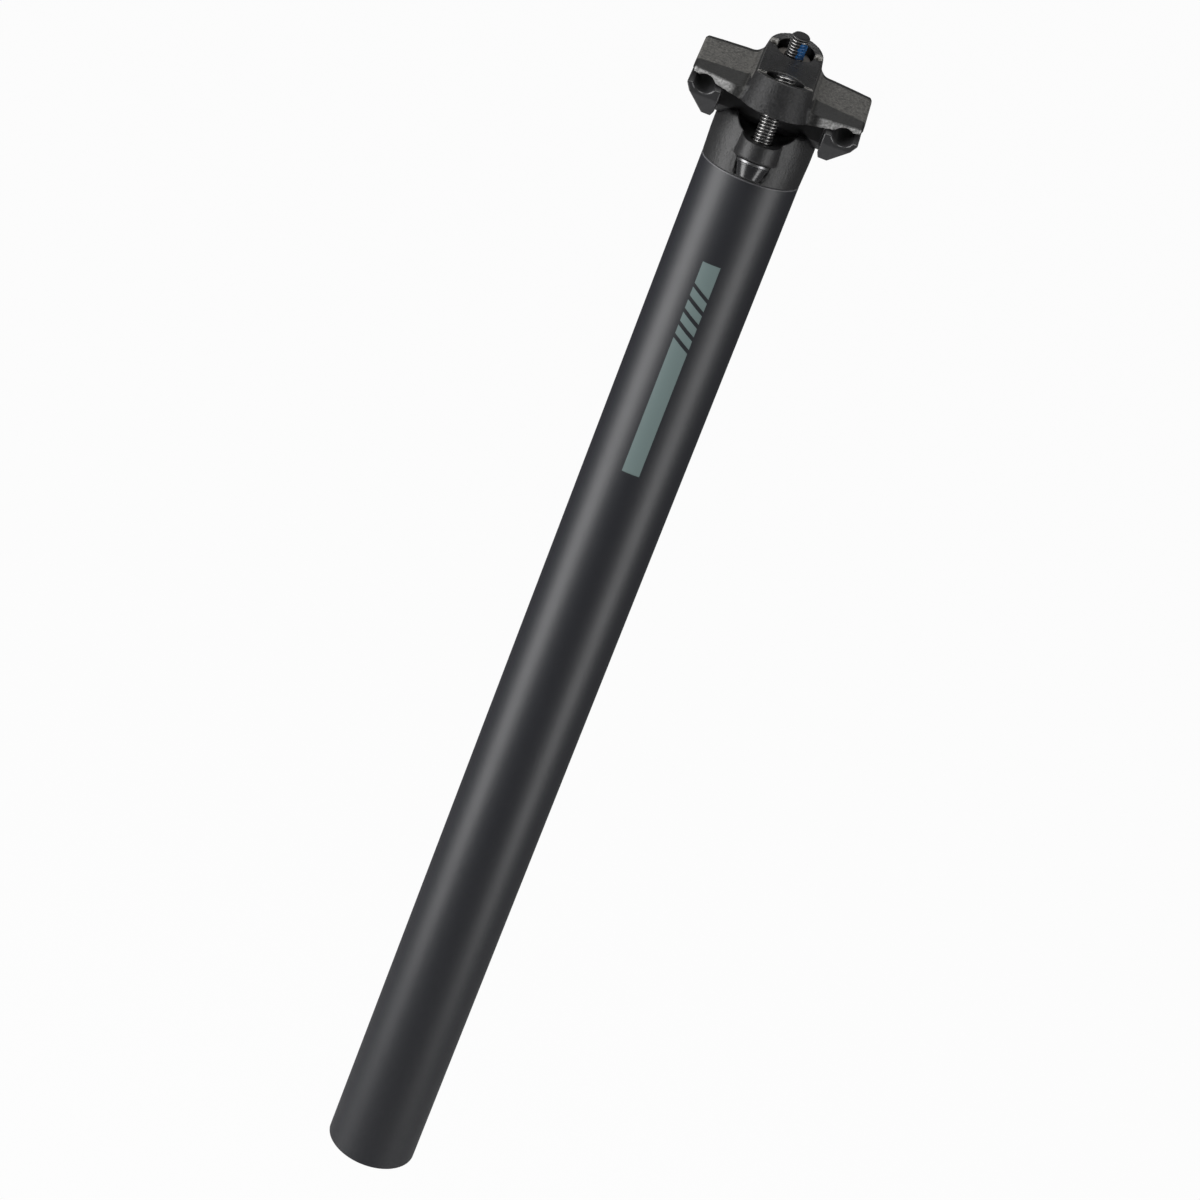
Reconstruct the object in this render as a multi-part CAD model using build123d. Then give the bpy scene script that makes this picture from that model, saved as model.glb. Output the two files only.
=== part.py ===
from build123d import *
from math import atan2, cos, degrees, hypot, radians, sin, tan
import os

# Two-bolt bicycle seatpost, in millimetres.
# The origin is the centre of the tube's open lower end and +Z runs up the tube.
# X runs across the saddle rails and -Y faces the side that carries the front bolt.

# Driving sizes of the whole post
tube_diameter = 31.6
tube_wall = 2.2
rail_height = 410.0          # lower end to the saddle rail's centre, clamp level
hinge_above_collar = 25.0    # collar: the line where the tube meets the head
rail_above_hinge = 1.8
clamp_tilt = 7.5             # how far the rear of the clamp is turned up, in degrees

# Saddle rails
rail_diameter = 7.0
rail_spacing = 44.0

# Clearances
glue_gap = 0.1               # spigot in the tube
trough_gap = 0.15            # cradle in the head's trough
ear_gap = 0.4                # cradle's ears beside the head
closing_gap = 0.3            # upper clamp above the cradle
nut_seat_gap = 0.06          # barrel nut in its seat
nut_pocket_gap = 0.6         # barrel nut in its round pocket
thread_gap = 0.15            # screw in its nut
seat_gap = 0.1               # washer in its conical seat
washer_lift_gap = 0.2        # washer's shoulder under the boss
shank_gap = 0.45             # screw in the head's boss

# Tube
tube_end_chamfer = 0.5

# Head
head_swell = 0.3             # the head stands proud of the tube by this much
swell_height = 8.0
head_top = 18.2
spigot_length = 45.0
spigot_wall = 4.0
trough_radius = 12.0
cheek_inset = 6.3            # from the tube's surface to the opening between the cheeks
opening_floor = 13.4
opening_corner = 6.0
cheek_chamfer = 1.4
boss_radius = 6.3
boss_blend = 3.0
boss_blend_sink = 0.5
boss_spare = 1.0             # boss height that the opening cuts away
boss_lower_chamfer = 0.6
pocket_floor = 0.8           # recess behind a screw head, above the collar
head_access_gap = 0.9        # recess around a screw head

# Screws, which swivel about a point just below their heads
pivot_offset = 18.7
pivot_above_collar = 1.8
screw_diameter = 5.9
screw_head_radius = 5.0
screw_rim_height = 0.6
screw_rim_step = 0.3
screw_head_height = 4.35
screw_end_radius = 3.6
screw_tip_chamfer = 0.6
key_width = 4.0
key_depth = 3.0
front_screw_length = 28.0
rear_screw_length = 35.7

# Washers, domed to swivel in a conical seat
washer_radius = 5.1
washer_dome_radius = 7.0
washer_rim_height = 0.9
washer_above_pivot = 4.25
washer_hole_gap = 0.15
seat_slope = 30.0            # from the flat, in degrees

# Barrel nuts, at the ends of the clamp's tower
nut_offset = 13.6
nut_above_hinge = 5.1
nut_radius = 4.2
nut_round_radius = 5.4
nut_top = 2.0

# Upper clamp
tower_top_above_nut = 3.4
tower_bottom_below_nut = 5.7
tower_end_shift = 0.45        # from a nut out to the middle of the tower's round end
tower_top_radius = 8.9
tower_bottom_radius = 10.5
tower_dish_radius = 85.0
tower_spare = 8.0            # tower height that the dish cuts away
bolt_slot_reach = 5.1         # half the length of the slot in which a screw swings
bolt_slot_corner = 1.6
punch_radius = 1.0
punch_sides = 8
punch_depth = 0.5
punch_offset = 7.05
wing_half_span = 27.1
wing_root = 11.5
wing_crease = 9.3            # half the depth of the wing's flat top
wing_root_reach = 16.4
wing_tip_reach = 13.5
wing_shoulder = 3.6
wing_root_top = 5.5
wing_tip_top = 4.45
wing_root_bottom = -0.1
wing_tip_bottom = 1.9
wing_end_chamfer = 0.7
wing_blend = 1.6             # slope that fills the corner between a wing and the tower
arch_top = 2.5

# Lower cradle
cradle_half_length = 18.9
land_height = 0.41
ear_tip_drop = 0.4
ear_waist_drop = 2.6
ear_waist_inset = 1.3
ear_foot_drop = 8.7
ear_foot_width = 3.6
ear_foot_round = 0.7
ear_foot_rise = 1.75
ear_chamfer_drop = 3.0
ear_chamfer_run = 2.0
web_half_length = 9.8
groove_chamfer = 0.4

# Worked out from the sizes above
tube_radius = tube_diameter / 2
tube_length = rail_height - rail_above_hinge - hinge_above_collar
collar = tube_length
hinge_height = collar + hinge_above_collar
head_radius = tube_radius + head_swell
rail_radius = rail_diameter / 2
rail_offset = rail_spacing / 2
screw_radius = screw_diameter / 2
pivot_height = collar + pivot_above_collar
ear_inner = head_radius + ear_gap
boss_above_pivot = washer_above_pivot + washer_rim_height + washer_lift_gap
tower_foot = nut_above_hinge - tower_bottom_below_nut
web_top = tower_foot - closing_gap
nut_above_pivot = hinge_height + nut_above_hinge - pivot_height
neutral_lean = degrees(atan2(pivot_offset - nut_offset, nut_above_pivot))
beyond = 4 * tube_diameter   # longer than whatever is cut right through
touching = 0.01              # closer than this counts as the same place


def side_plane(offset, height, lean):
    """Plane across the post at a height, its normal leaning toward +Y by lean degrees."""
    normal = (0, sin(radians(lean)), cos(radians(lean)))
    return Plane(origin=(0, offset, height), x_dir=(1, 0, 0), z_dir=normal)


def turned(offset, height):
    """Where a point of the level clamp, given from the hinge, lies once the clamp is tilted."""
    c, s = cos(radians(clamp_tilt)), sin(radians(clamp_tilt))
    return offset * c - height * s, hinge_height + offset * s + height * c


def tilt_clamp(shape):
    """Lift a clamp piece from its own frame at the hinge to its place on the post."""
    return Pos(0, 0, hinge_height) * Rot(clamp_tilt, 0, 0) * shape


def across(radius, half_length, offset=0, height=0):
    """Solid cylinder along X."""
    return Pos(0, offset, height) * Rot(0, 90, 0) * Cylinder(radius, 2 * half_length)


def lengthwise(radius, offset, height):
    """Solid cylinder along Y, longer than the clamp."""
    return Pos(offset, 0, height) * Rot(90, 0, 0) * Cylinder(radius, beyond)


def up_from(plane, radius, height, top_radius=None):
    """Cylinder or cone that stands on a plane."""
    low = (Align.CENTER, Align.CENTER, Align.MIN)
    if top_radius is None:
        return plane * Cylinder(radius, height, align=low)
    return plane * Cone(radius, top_radius, height, align=low)


def screw_line(side):
    """Nut centre and lean of the screw on one side, -1 for the front and 1 for the rear."""
    nut_y, nut_z = turned(side * nut_offset, nut_above_hinge)
    lean = degrees(atan2(nut_y - side * pivot_offset, nut_z - pivot_height))
    return nut_y, nut_z, lean


def screw_plane(side, above_pivot):
    """Plane square to a screw at a distance above its pivot."""
    lean = screw_line(side)[2]
    y = side * pivot_offset + above_pivot * sin(radians(lean))
    return side_plane(y, pivot_height + above_pivot * cos(radians(lean)), lean)


def boss_plane(side, above_pivot):
    """Plane square to the head's boss at a distance above the screw's pivot."""
    lean = -side * neutral_lean
    y = side * pivot_offset + above_pivot * sin(radians(lean))
    return side_plane(y, pivot_height + above_pivot * cos(radians(lean)), lean)


def make_post_tube():
    tube = Cylinder(tube_radius, tube_length) - Cylinder(tube_radius - tube_wall, tube_length)
    tube = Pos(0, 0, tube_length / 2) * tube
    rim = tube.edges().filter_by(GeomType.CIRCLE).group_by(Axis.Z)[0]
    return chamfer(rim, tube_end_chamfer)


def head_boss():
    """One bolt boss of the head, with the hollow flares that blend it into the round body."""
    height = opening_floor + boss_spare - pivot_above_collar - boss_above_pivot
    middle = pivot_height + boss_above_pivot + height / 2
    body_away = pivot_offset - (middle - pivot_height) * tan(radians(neutral_lean))
    body_round = head_radius - boss_blend_sink
    outline = Circle(boss_radius) + Pos(0, body_away) * Circle(body_round)
    on_boss = [v for v in outline.vertices() if abs(hypot(v.X, v.Y) - boss_radius) < touching]
    corners = [v for v in on_boss if abs(hypot(v.X, v.Y - body_away) - body_round) < touching]
    outline = fillet(corners, boss_blend)
    block = extrude(boss_plane(-1, boss_above_pivot) * outline, height)
    arcs = [e for e in block.edges().filter_by(GeomType.CIRCLE) if abs(e.radius - boss_radius) < touching]
    block = chamfer([e for e in arcs if e.center().Z < middle], boss_lower_chamfer)
    return block & (Pos(0, -tube_radius, collar) * Box(tube_diameter, tube_diameter, beyond))


def head_opening():
    """The channel from front to rear, round in its lower corners, seen from the front as a U."""
    half = tube_radius - cheek_inset
    outline = RectangleRounded(2 * half, beyond, opening_corner)
    channel = extrude(Plane.XZ * outline, beyond, both=True)
    return Pos(0, 0, collar + opening_floor + beyond / 2) * channel


def make_head():
    low = (Align.CENTER, Align.CENTER, Align.MIN)
    high = (Align.CENTER, Align.CENTER, Align.MAX)
    shank_hole = screw_radius + shank_gap
    seat_reach = washer_dome_radius + seat_gap
    seat_mouth = (seat_reach - boss_above_pivot * cos(radians(seat_slope))) / sin(radians(seat_slope))
    seat_top = (seat_reach - shank_hole * sin(radians(seat_slope))) / cos(radians(seat_slope))
    head = Pos(0, 0, collar + swell_height) * Cylinder(head_radius, head_top - swell_height, align=low)
    head = chamfer(head.edges().group_by(Axis.Z)[-1], cheek_chamfer)
    head += up_from(side_plane(0, collar, 0), tube_radius, swell_height, head_radius)
    boss = head_boss()
    head += boss
    head += mirror(boss, about=Plane.XZ)
    head -= across(trough_radius, beyond, height=hinge_height)
    head -= head_opening()
    head += Pos(0, 0, collar) * Cylinder(tube_radius - tube_wall - glue_gap, spigot_length, align=high)
    hollow = tube_radius - tube_wall - glue_gap - spigot_wall
    head -= Pos(0, 0, collar - spigot_length / 2) * Cylinder(hollow, spigot_length)
    for side in (-1, 1):
        head -= up_from(boss_plane(side, 0), shank_hole, head_top)
        head -= up_from(boss_plane(side, boss_above_pivot), seat_mouth, seat_top - boss_above_pivot,
                        shank_hole)
        pocket = up_from(boss_plane(side, -pivot_above_collar), screw_head_radius + head_access_gap,
                         pivot_above_collar + boss_above_pivot)
        head -= pocket & above(collar + pocket_floor)
    return head


def above(height):
    """Everything over a height."""
    return over(side_plane(0, height, 0))


def over(plane):
    """Everything on the upper side of a plane."""
    return plane * Pos(0, 0, beyond / 2) * Box(beyond, beyond, beyond)


def make_screw(side, length):
    """Screw with a tapered head at its lower end and a hexagon socket for the key."""
    low = (Align.CENTER, Align.CENTER, Align.MIN)
    high = (Align.CENTER, Align.CENTER, Align.MAX)
    shank = Cylinder(screw_radius, length, align=low)
    shank = chamfer(shank.edges().filter_by(GeomType.CIRCLE).group_by(Axis.Z)[-1], screw_tip_chamfer)
    taper_height = screw_head_height - screw_rim_height
    head = Cylinder(screw_head_radius, screw_rim_height, align=high)
    taper = Cone(screw_end_radius, screw_head_radius - screw_rim_step, taper_height, align=high)
    head += Pos(0, 0, -screw_rim_height) * taper
    hexagon = RegularPolygon(key_width / 2, 6, major_radius=False)
    socket = extrude(Pos(0, 0, -screw_head_height) * hexagon, key_depth)
    return screw_plane(side, washer_above_pivot) * (shank + head - socket)


def make_washer(side):
    """Domed washer between a screw's head and its boss."""
    plane = screw_plane(side, washer_above_pivot)
    rim = up_from(plane, washer_radius, washer_rim_height)
    dome = Pos(0, side * pivot_offset, pivot_height) * Sphere(washer_dome_radius)
    dome &= up_from(plane, washer_radius, washer_dome_radius)
    hole = up_from(plane, screw_radius + washer_hole_gap, washer_dome_radius)
    return rim + dome - hole


def make_barrel_nut(side):
    nut_y, nut_z, lean = screw_line(side)
    plane = side_plane(nut_y, nut_z, lean)
    barrel = Rot(0, 90, 0) * Cylinder(nut_radius, 2 * nut_round_radius)
    barrel &= Cylinder(nut_round_radius, 2 * nut_radius)
    barrel &= Pos(0, 0, nut_top - nut_radius) * Box(beyond, beyond, 2 * nut_radius)
    barrel -= Cylinder(screw_radius + thread_gap, beyond)
    return plane * barrel


def wing_section(x, reach, bottom, top):
    points = [(-reach, bottom), (-reach, wing_shoulder), (-wing_crease, top), (wing_crease, top),
              (reach, wing_shoulder), (reach, bottom)]
    plane = Plane(origin=(x, 0, 0), x_dir=(0, 1, 0), z_dir=(1, 0, 0))
    return plane * Polygon(*points, align=None)


def along(start, end, x, length):
    """A size that changes evenly from the wing's root to its tip, at a place beyond either end."""
    return start + (end - start) * (x - wing_root) / length


def make_wing():
    length = wing_half_span - wing_root
    sections = []
    for x in (0, wing_half_span):
        sections.append(wing_section(x, along(wing_root_reach, wing_tip_reach, x, length),
                                     along(wing_root_bottom, wing_tip_bottom, x, length),
                                     along(wing_root_top, wing_tip_top, x, length)))
    wing = loft(sections, ruled=True)
    return chamfer(wing.faces().sort_by(Axis.X)[-1].edges(), wing_end_chamfer)


def tower_plane(side, above_nut):
    lean = -side * neutral_lean
    return side_plane(side * nut_offset + above_nut * sin(radians(lean)),
                      nut_above_hinge + above_nut * cos(radians(lean)), lean)


def tower_outline(height):
    """The tower's outline at a height above the hinge: a slot that narrows and shortens upwards."""
    narrowing = (tower_bottom_radius - tower_top_radius) / (tower_bottom_below_nut + tower_top_above_nut)
    radius = tower_bottom_radius - narrowing * (height - tower_foot)
    offset = nut_offset + tower_end_shift - (height - nut_above_hinge) * tan(radians(neutral_lean))
    return Pos(0, 0, height) * Rot(0, 0, 90) * SlotCenterToCenter(2 * offset, 2 * radius)


def make_clamp_body():
    """Tower and wings of the upper clamp, before anything is cut into them."""
    spare_top = nut_above_hinge + tower_top_above_nut + tower_spare
    tower = loft([tower_outline(tower_foot), tower_outline(spare_top)], ruled=True)
    right = make_wing()
    left = mirror(right, about=Plane.YZ)
    body = (tower + right + left) & above(tower_foot)
    for side in (-1, 1):
        body &= over(tower_plane(side, -tower_bottom_below_nut))
    corners = [e for e in new_edges(tower, right, left, combined=body) if e.center().Z > wing_shoulder]
    body = chamfer(corners, wing_blend)
    lowest = nut_above_hinge + tower_top_above_nut * cos(radians(neutral_lean))
    return body - across(tower_dish_radius, beyond, height=lowest + tower_dish_radius)


def make_upper_clamp():
    clamp = make_clamp_body()
    bolt_hole = screw_radius + thread_gap
    for side in (-1, 1):
        clamp -= up_from(tower_plane(side, 0), nut_round_radius + nut_pocket_gap, tower_spare)
        clamp -= across(nut_radius + nut_seat_gap, nut_round_radius + nut_pocket_gap / 2, side * nut_offset,
                        nut_above_hinge)
        slot = Rectangle(2 * bolt_hole, 2 * bolt_slot_reach)
        slot = chamfer(slot.vertices(), bolt_slot_corner)
        clamp -= extrude(tower_plane(side, 0) * slot, -2 * tower_bottom_below_nut)
        clamp -= lengthwise(rail_radius, side * rail_offset, arch_top - rail_radius)
        for x in (-punch_offset, punch_offset):
            mark = Pos(x, 0) * RegularPolygon(punch_radius, punch_sides)
            clamp -= extrude(tower_plane(side, tower_top_above_nut - punch_depth) * mark, tower_spare)
    return tilt_clamp(clamp)


def ear_outline():
    foot = land_height - ear_foot_drop
    outer = wing_half_span
    points = [(ear_inner, land_height), (outer, land_height), (outer, land_height - ear_tip_drop),
              (outer - ear_waist_inset, land_height - ear_waist_drop), (ear_inner + ear_foot_width, foot),
              (ear_inner + ear_foot_round, foot), (ear_inner, foot + ear_foot_rise)]
    return Polygon(*points, align=None)


def make_lower_cradle():
    web = across(trough_radius - trough_gap, ear_inner + ear_foot_round)
    web &= Pos(0, 0, web_top - trough_radius) * Box(beyond, 2 * web_half_length, 2 * trough_radius)
    ear = extrude(Plane.XZ * ear_outline(), cradle_half_length, both=True)
    ear -= lengthwise(rail_radius, rail_offset, rail_above_hinge)
    ear = chamfer(ear.edges().filter_by(GeomType.CIRCLE), groove_chamfer)
    corner = land_height - ear_chamfer_drop
    foot = land_height - ear_foot_drop
    for side in (-1, 1):
        end = side * cradle_half_length
        corners = [(end, corner), (end - side * ear_chamfer_run, foot), (end, 2 * foot), (2 * end, 2 * foot),
                   (2 * end, corner)]
        ear -= extrude(Plane.YZ * Polygon(*corners, align=None), beyond, both=True)
    cradle = web + ear + mirror(ear, about=Plane.YZ)
    return tilt_clamp(cradle)


def main():
    os.makedirs("parts", exist_ok=True)
    pieces = {
        "post_tube": make_post_tube(),
        "head_forging": make_head(),
        "lower_cradle": make_lower_cradle(),
        "upper_clamp": make_upper_clamp(),
        "front_bolt": make_screw(-1, front_screw_length),
        "rear_bolt": make_screw(1, rear_screw_length),
        "front_washer": make_washer(-1),
        "rear_washer": make_washer(1),
        "front_barrel_nut": make_barrel_nut(-1),
        "rear_barrel_nut": make_barrel_nut(1),
    }
    for name, piece in pieces.items():
        piece.label = name
        export_step(piece, f"parts/{name}.step")
        print(name, round(piece.volume), piece.bounding_box())


main()
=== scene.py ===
# %% [markdown]
# # A two-bolt seatpost, dressed for the studio
# A seatpost is a long tube with a small, busy clamp on top. The CAD model already gives every rigid
# piece its place and size. This lesson gives each piece its finish: matt composite, blasted and
# anodised forgings, plated screws with real threads, and the light in which they were photographed.
# Everything is in metres, +Z runs up the tube and -Y is the side of the front screw.

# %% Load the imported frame
import bpy
from math import atan2, cos, radians, sin
from mathutils import Matrix, Vector


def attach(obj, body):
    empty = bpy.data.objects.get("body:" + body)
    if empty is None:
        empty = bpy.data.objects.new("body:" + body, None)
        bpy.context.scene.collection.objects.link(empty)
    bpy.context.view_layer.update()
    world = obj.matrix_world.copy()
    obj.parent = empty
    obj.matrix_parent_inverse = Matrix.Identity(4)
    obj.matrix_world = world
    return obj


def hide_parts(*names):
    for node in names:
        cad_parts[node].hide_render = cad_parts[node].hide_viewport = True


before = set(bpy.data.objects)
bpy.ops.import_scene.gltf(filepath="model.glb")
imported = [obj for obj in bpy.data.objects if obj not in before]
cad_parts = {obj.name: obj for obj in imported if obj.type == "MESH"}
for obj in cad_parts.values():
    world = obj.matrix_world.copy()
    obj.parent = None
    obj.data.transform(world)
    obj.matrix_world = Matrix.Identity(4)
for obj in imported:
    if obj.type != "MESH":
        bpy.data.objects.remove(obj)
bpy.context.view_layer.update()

# %% [markdown]
# ## The sizes that the CAD model and the scene share
# The values below repeat the CAD source in metres. Where a piece is turned or lifted, its place is
# worked out from the same values, so that a thread, a washer and a nut stay on one line.

# %% Sizes from the CAD source
MM = 0.001
tube_radius = 15.8 * MM
tube_wall = 2.2 * MM
collar = 383.2 * MM
hinge_height = 408.2 * MM
clamp_tilt = radians(7.5)
spigot_radius = 13.5 * MM
spigot_bore = 9.5 * MM
spigot_length = 45 * MM
pivot_offset = 18.7 * MM
pivot_height = 385.0 * MM
washer_above_pivot = 4.25 * MM
nut_offset = 13.6 * MM
nut_above_hinge = 5.1 * MM
screw_radius = 2.95 * MM
screw_length = {-1: 28.0 * MM, 1: 35.7 * MM}
head_radius = 5.0 * MM
head_height = 4.35 * MM


def turned(offset, height):
    """Where a point of the level clamp, given from the hinge, lies once the clamp is tilted."""
    y = offset * cos(clamp_tilt) - height * sin(clamp_tilt)
    return y, hinge_height + offset * sin(clamp_tilt) + height * cos(clamp_tilt)


def screw_place(side, above_pivot):
    """Matrix that stands a piece on the screw's line, side -1 for the front and 1 for the rear."""
    nut_y, nut_z = turned(side * nut_offset, nut_above_hinge)
    lean = atan2(nut_y - side * pivot_offset, nut_z - pivot_height)
    y = side * pivot_offset + above_pivot * sin(lean)
    z = pivot_height + above_pivot * cos(lean)
    return Matrix.Translation((0, y, z)) @ Matrix.Rotation(-lean, 4, "X")


print("front nut", turned(-nut_offset, nut_above_hinge), "rear nut", turned(nut_offset, nut_above_hinge))

# %% [markdown]
# ## Small tools of the trade
# Operators act on whatever is selected, and the loaded nodes come in selected. So each helper starts
# by clearing the selection. Modifiers are applied at once, which leaves plain meshes to finish.

# %% Helpers that select


def nothing_selected():
    """Leave edit mode and deselect everything."""
    if bpy.context.object and bpy.context.object.mode != "OBJECT":
        bpy.ops.object.mode_set(mode="OBJECT")
    bpy.ops.object.select_all(action="DESELECT")


def pick(piece):
    """Make one piece the only selected and the active one."""
    nothing_selected()
    piece.hide_set(False)
    piece.select_set(True)
    bpy.context.view_layer.objects.active = piece


def edit(piece, select="SELECT"):
    """Open a piece in edit mode with its whole mesh selected, or none of it with DESELECT."""
    pick(piece)
    bpy.ops.object.mode_set(mode="EDIT")
    bpy.ops.mesh.select_all(action=select)


# %% Helpers that shape a piece


def apply_modifier(piece, kind, **settings):
    """Add a modifier, set it and apply it."""
    pick(piece)
    modifier = piece.modifiers.new(kind.lower(), kind)
    for name, value in settings.items():
        setattr(modifier, name, value)
    bpy.ops.object.modifier_apply(modifier=modifier.name)


def break_edges(piece, width, segments=3):
    """Round every edge that turns by more than 60 degrees."""
    apply_modifier(piece, "BEVEL", width=width, segments=segments, limit_method="ANGLE",
                   angle_limit=radians(60))


def cut(piece, tool, operation="DIFFERENCE"):
    """Boolean one piece with a tool, which is then thrown away."""
    apply_modifier(piece, "BOOLEAN", object=tool, operation=operation, solver="EXACT")
    mesh = tool.data
    bpy.data.objects.remove(tool)
    bpy.data.meshes.remove(mesh)


def merge(piece, distance=0.001 * MM):
    """Merge doubles and turn all faces outwards."""
    edit(piece)
    bpy.ops.mesh.remove_doubles(threshold=distance)
    bpy.ops.mesh.normals_make_consistent(inside=False)
    bpy.ops.object.mode_set(mode="OBJECT")


# %% Helpers that start a piece


def settled(name):
    """Name the primitive that was just added, and bake its place into its mesh."""
    piece = bpy.context.object
    piece.name = piece.data.name = name
    bpy.ops.object.transform_apply(location=True, rotation=True, scale=True)
    return piece


def rod(name, radius, low, high, sides=96, ends="NGON"):
    """Upright cylinder from one height to another, open if its ends are NOTHING."""
    nothing_selected()
    bpy.ops.mesh.primitive_cylinder_add(vertices=sides, radius=radius, depth=high - low,
                                        end_fill_type=ends, location=(0, 0, (low + high) / 2))
    return settled(name)


def pipe(name, radius, wall, low, high, sides, rim_width, rim_segments):
    """Open cylinder that gets its wall inwards, with both rims broken by a small bevel."""
    piece = rod(name, radius, low, high, sides, ends="NOTHING")
    apply_modifier(piece, "SOLIDIFY", thickness=wall, offset=-1.0, use_even_offset=True)
    break_edges(piece, rim_width, rim_segments)
    merge(piece)
    return piece


def outline(name, points, closed):
    """Wire through (radius, height) points on the XZ plane, to be turned into a round piece."""
    nothing_selected()
    bpy.ops.mesh.primitive_plane_add(size=1 * MM)
    piece = settled(name)
    edit(piece)
    bpy.ops.mesh.delete(type="VERT")
    bpy.ops.object.mode_set(mode="OBJECT")
    count = len(points)
    edges = [(i, (i + 1) % count) for i in range(count if closed else count - 1)]
    piece.data.from_pydata([(radius, 0, height) for radius, height in points], edges, [])
    return piece


# %% [markdown]
# A finished piece leaves its object at the origin: place and turn are baked into the mesh. Then it is
# told which body carries it, which CAD node it stands for and which finish it takes.

# %% Helpers that finish a piece


def place(piece, matrix):
    """Move a piece and bake the move into its mesh."""
    piece.matrix_world = matrix
    pick(piece)
    bpy.ops.object.transform_apply(location=True, rotation=True, scale=True)
    return piece


def finish_piece(piece, body, node=None, angle=35):
    """Smooth shading, body and the CAD node it replaces."""
    pick(piece)
    bpy.ops.object.shade_smooth_by_angle(angle=radians(angle))
    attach(piece, body)
    if node:
        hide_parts(node)
    print(piece.name, "triangles", sum(len(face.vertices) - 2 for face in piece.data.polygons))
    return piece


# %% [markdown]
# ## The camera
# The picture was taken from the front, a little above, with a long lens, and the post leans in the
# frame because the camera was rolled by 21 degrees. The numbers come from a camera fitted to the
# tube's edges, its lower end and the joint at the head, for an image of 1200 by 1200.

# %% Camera at the photo's angle
focal_px, image_px, sensor_mm = 2958.71, 1200, 36
elevation, roll, turn = radians(24.2113), radians(21.4531), radians(0.8776)
distance, shift_x, aim_height = 965.15 * MM, 5.377 * MM, 230.164 * MM
nearest = 10 * MM

back = Vector((-cos(elevation) * sin(turn), -cos(elevation) * cos(turn), sin(elevation)))
level = Vector((cos(turn), -sin(turn), 0))
upward = back.cross(level)
right = cos(roll) * level + sin(roll) * upward
up = -sin(roll) * level + cos(roll) * upward
stand = Vector((cos(turn) * shift_x, -sin(turn) * shift_x, aim_height)) + back * distance

nothing_selected()
bpy.ops.object.camera_add(location=stand)
camera = bpy.context.object
camera.matrix_world = Matrix.Translation(stand) @ Matrix((right, up, back)).transposed().to_4x4()
camera.data.sensor_width = sensor_mm
camera.data.lens = focal_px / image_px * sensor_mm
camera.data.clip_start = nearest
bpy.context.scene.camera = camera
print("camera", [round(v, 3) for v in stand], "lens", round(camera.data.lens, 2))

# %% [markdown]
# ## Floor, backdrop and light
# A black object on white is lit by what it mirrors. Two tall soft boxes stand left and right and draw
# the two long highlights down the tube. A wide, weak one hangs above and behind for the tops of the
# wings. The camera looks down, so the tube mirrors what lies below it: in the photo the post hangs
# clear of the floor, and here too, or the highlights would fade out before they reach its foot.
# The floor looks white because Light Path tells it when the camera, or a mirror or a clear surface,
# looks at it. For every other ray it is a plain pale floor that takes a shadow.

# %% Node helper: one step of arithmetic


def calculate(tree, operation, first, second=None, third=None, clamp=False):
    """Math node whose inputs are sockets or plain numbers, and its output socket."""
    node = tree.nodes.new("ShaderNodeMath")
    node.operation = operation
    node.use_clamp = clamp
    for slot, value in zip(node.inputs, (first, second, third)):
        if value is None:
            continue
        if isinstance(value, (int, float)):
            slot.default_value = value
        else:
            tree.links.new(value, slot)
    return node.outputs[0]


# %% Node helper: white to the eye, plain to the light


def white_to_the_eye(tree, plain, white, eye_share, mirror_share, output):
    """Show this share of white to the camera, and this share to mirrors. Other rays meet the plain."""
    path = tree.nodes.new("ShaderNodeLightPath").outputs
    seen = calculate(tree, "MAXIMUM", path["Is Camera Ray"], path["Is Transmission Ray"])
    mirrored = calculate(tree, "MULTIPLY", path["Is Glossy Ray"], mirror_share)
    blend = tree.nodes.new("ShaderNodeMixShader")
    tree.links.new(calculate(tree, "MULTIPLY_ADD", seen, eye_share, mirrored), blend.inputs["Fac"])
    tree.links.new(plain.outputs[0], blend.inputs[1])
    tree.links.new(white.outputs[0], blend.inputs[2])
    tree.links.new(blend.outputs[0], output.inputs["Surface"])


# %% The floor
floor_height, floor_size, floor_shade = -0.3, 12, 0.5
nothing_selected()
bpy.ops.mesh.primitive_plane_add(size=floor_size, location=(0, 0, floor_height))
floor = bpy.context.object
floor.name = "studio_floor"

floor_paint = bpy.data.materials.new("floor_paint")
floor_paint.use_nodes = True
floor_nodes = floor_paint.node_tree.nodes
paint = floor_nodes["Principled BSDF"]
paint.inputs["Base Color"].default_value = (floor_shade, floor_shade, floor_shade, 1)
paint.inputs["Roughness"].default_value = 0.9
paint.inputs["Specular IOR Level"].default_value = 0.1
glow = floor_nodes.new("ShaderNodeEmission")
glow.inputs["Strength"].default_value = 1.0
white_to_the_eye(floor_paint.node_tree, paint, glow, eye_share=0.97, mirror_share=0.02,
                 output=floor_nodes["Material Output"])
floor.data.materials.append(floor_paint)
print("floor", floor.dimensions[:], "at", floor_height)

# %% The world behind the floor
white, room_strength = (1, 1, 1, 1), 0.1
world = bpy.data.worlds.new("studio")
bpy.context.scene.world = world
world.use_nodes = True
sky = world.node_tree.nodes
room = sky["Background"]
room.inputs["Color"].default_value = white
room.inputs["Strength"].default_value = room_strength
bright = sky.new("ShaderNodeBackground")
bright.inputs["Color"].default_value = white
bright.inputs["Strength"].default_value = 1.0
white_to_the_eye(world.node_tree, room, bright, eye_share=1.0, mirror_share=0.05,
                 output=sky["World Output"])
bpy.context.scene.view_settings.view_transform = "Standard"
print("world", world.name, "with a room light of", room_strength)

# %% Soft boxes


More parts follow.
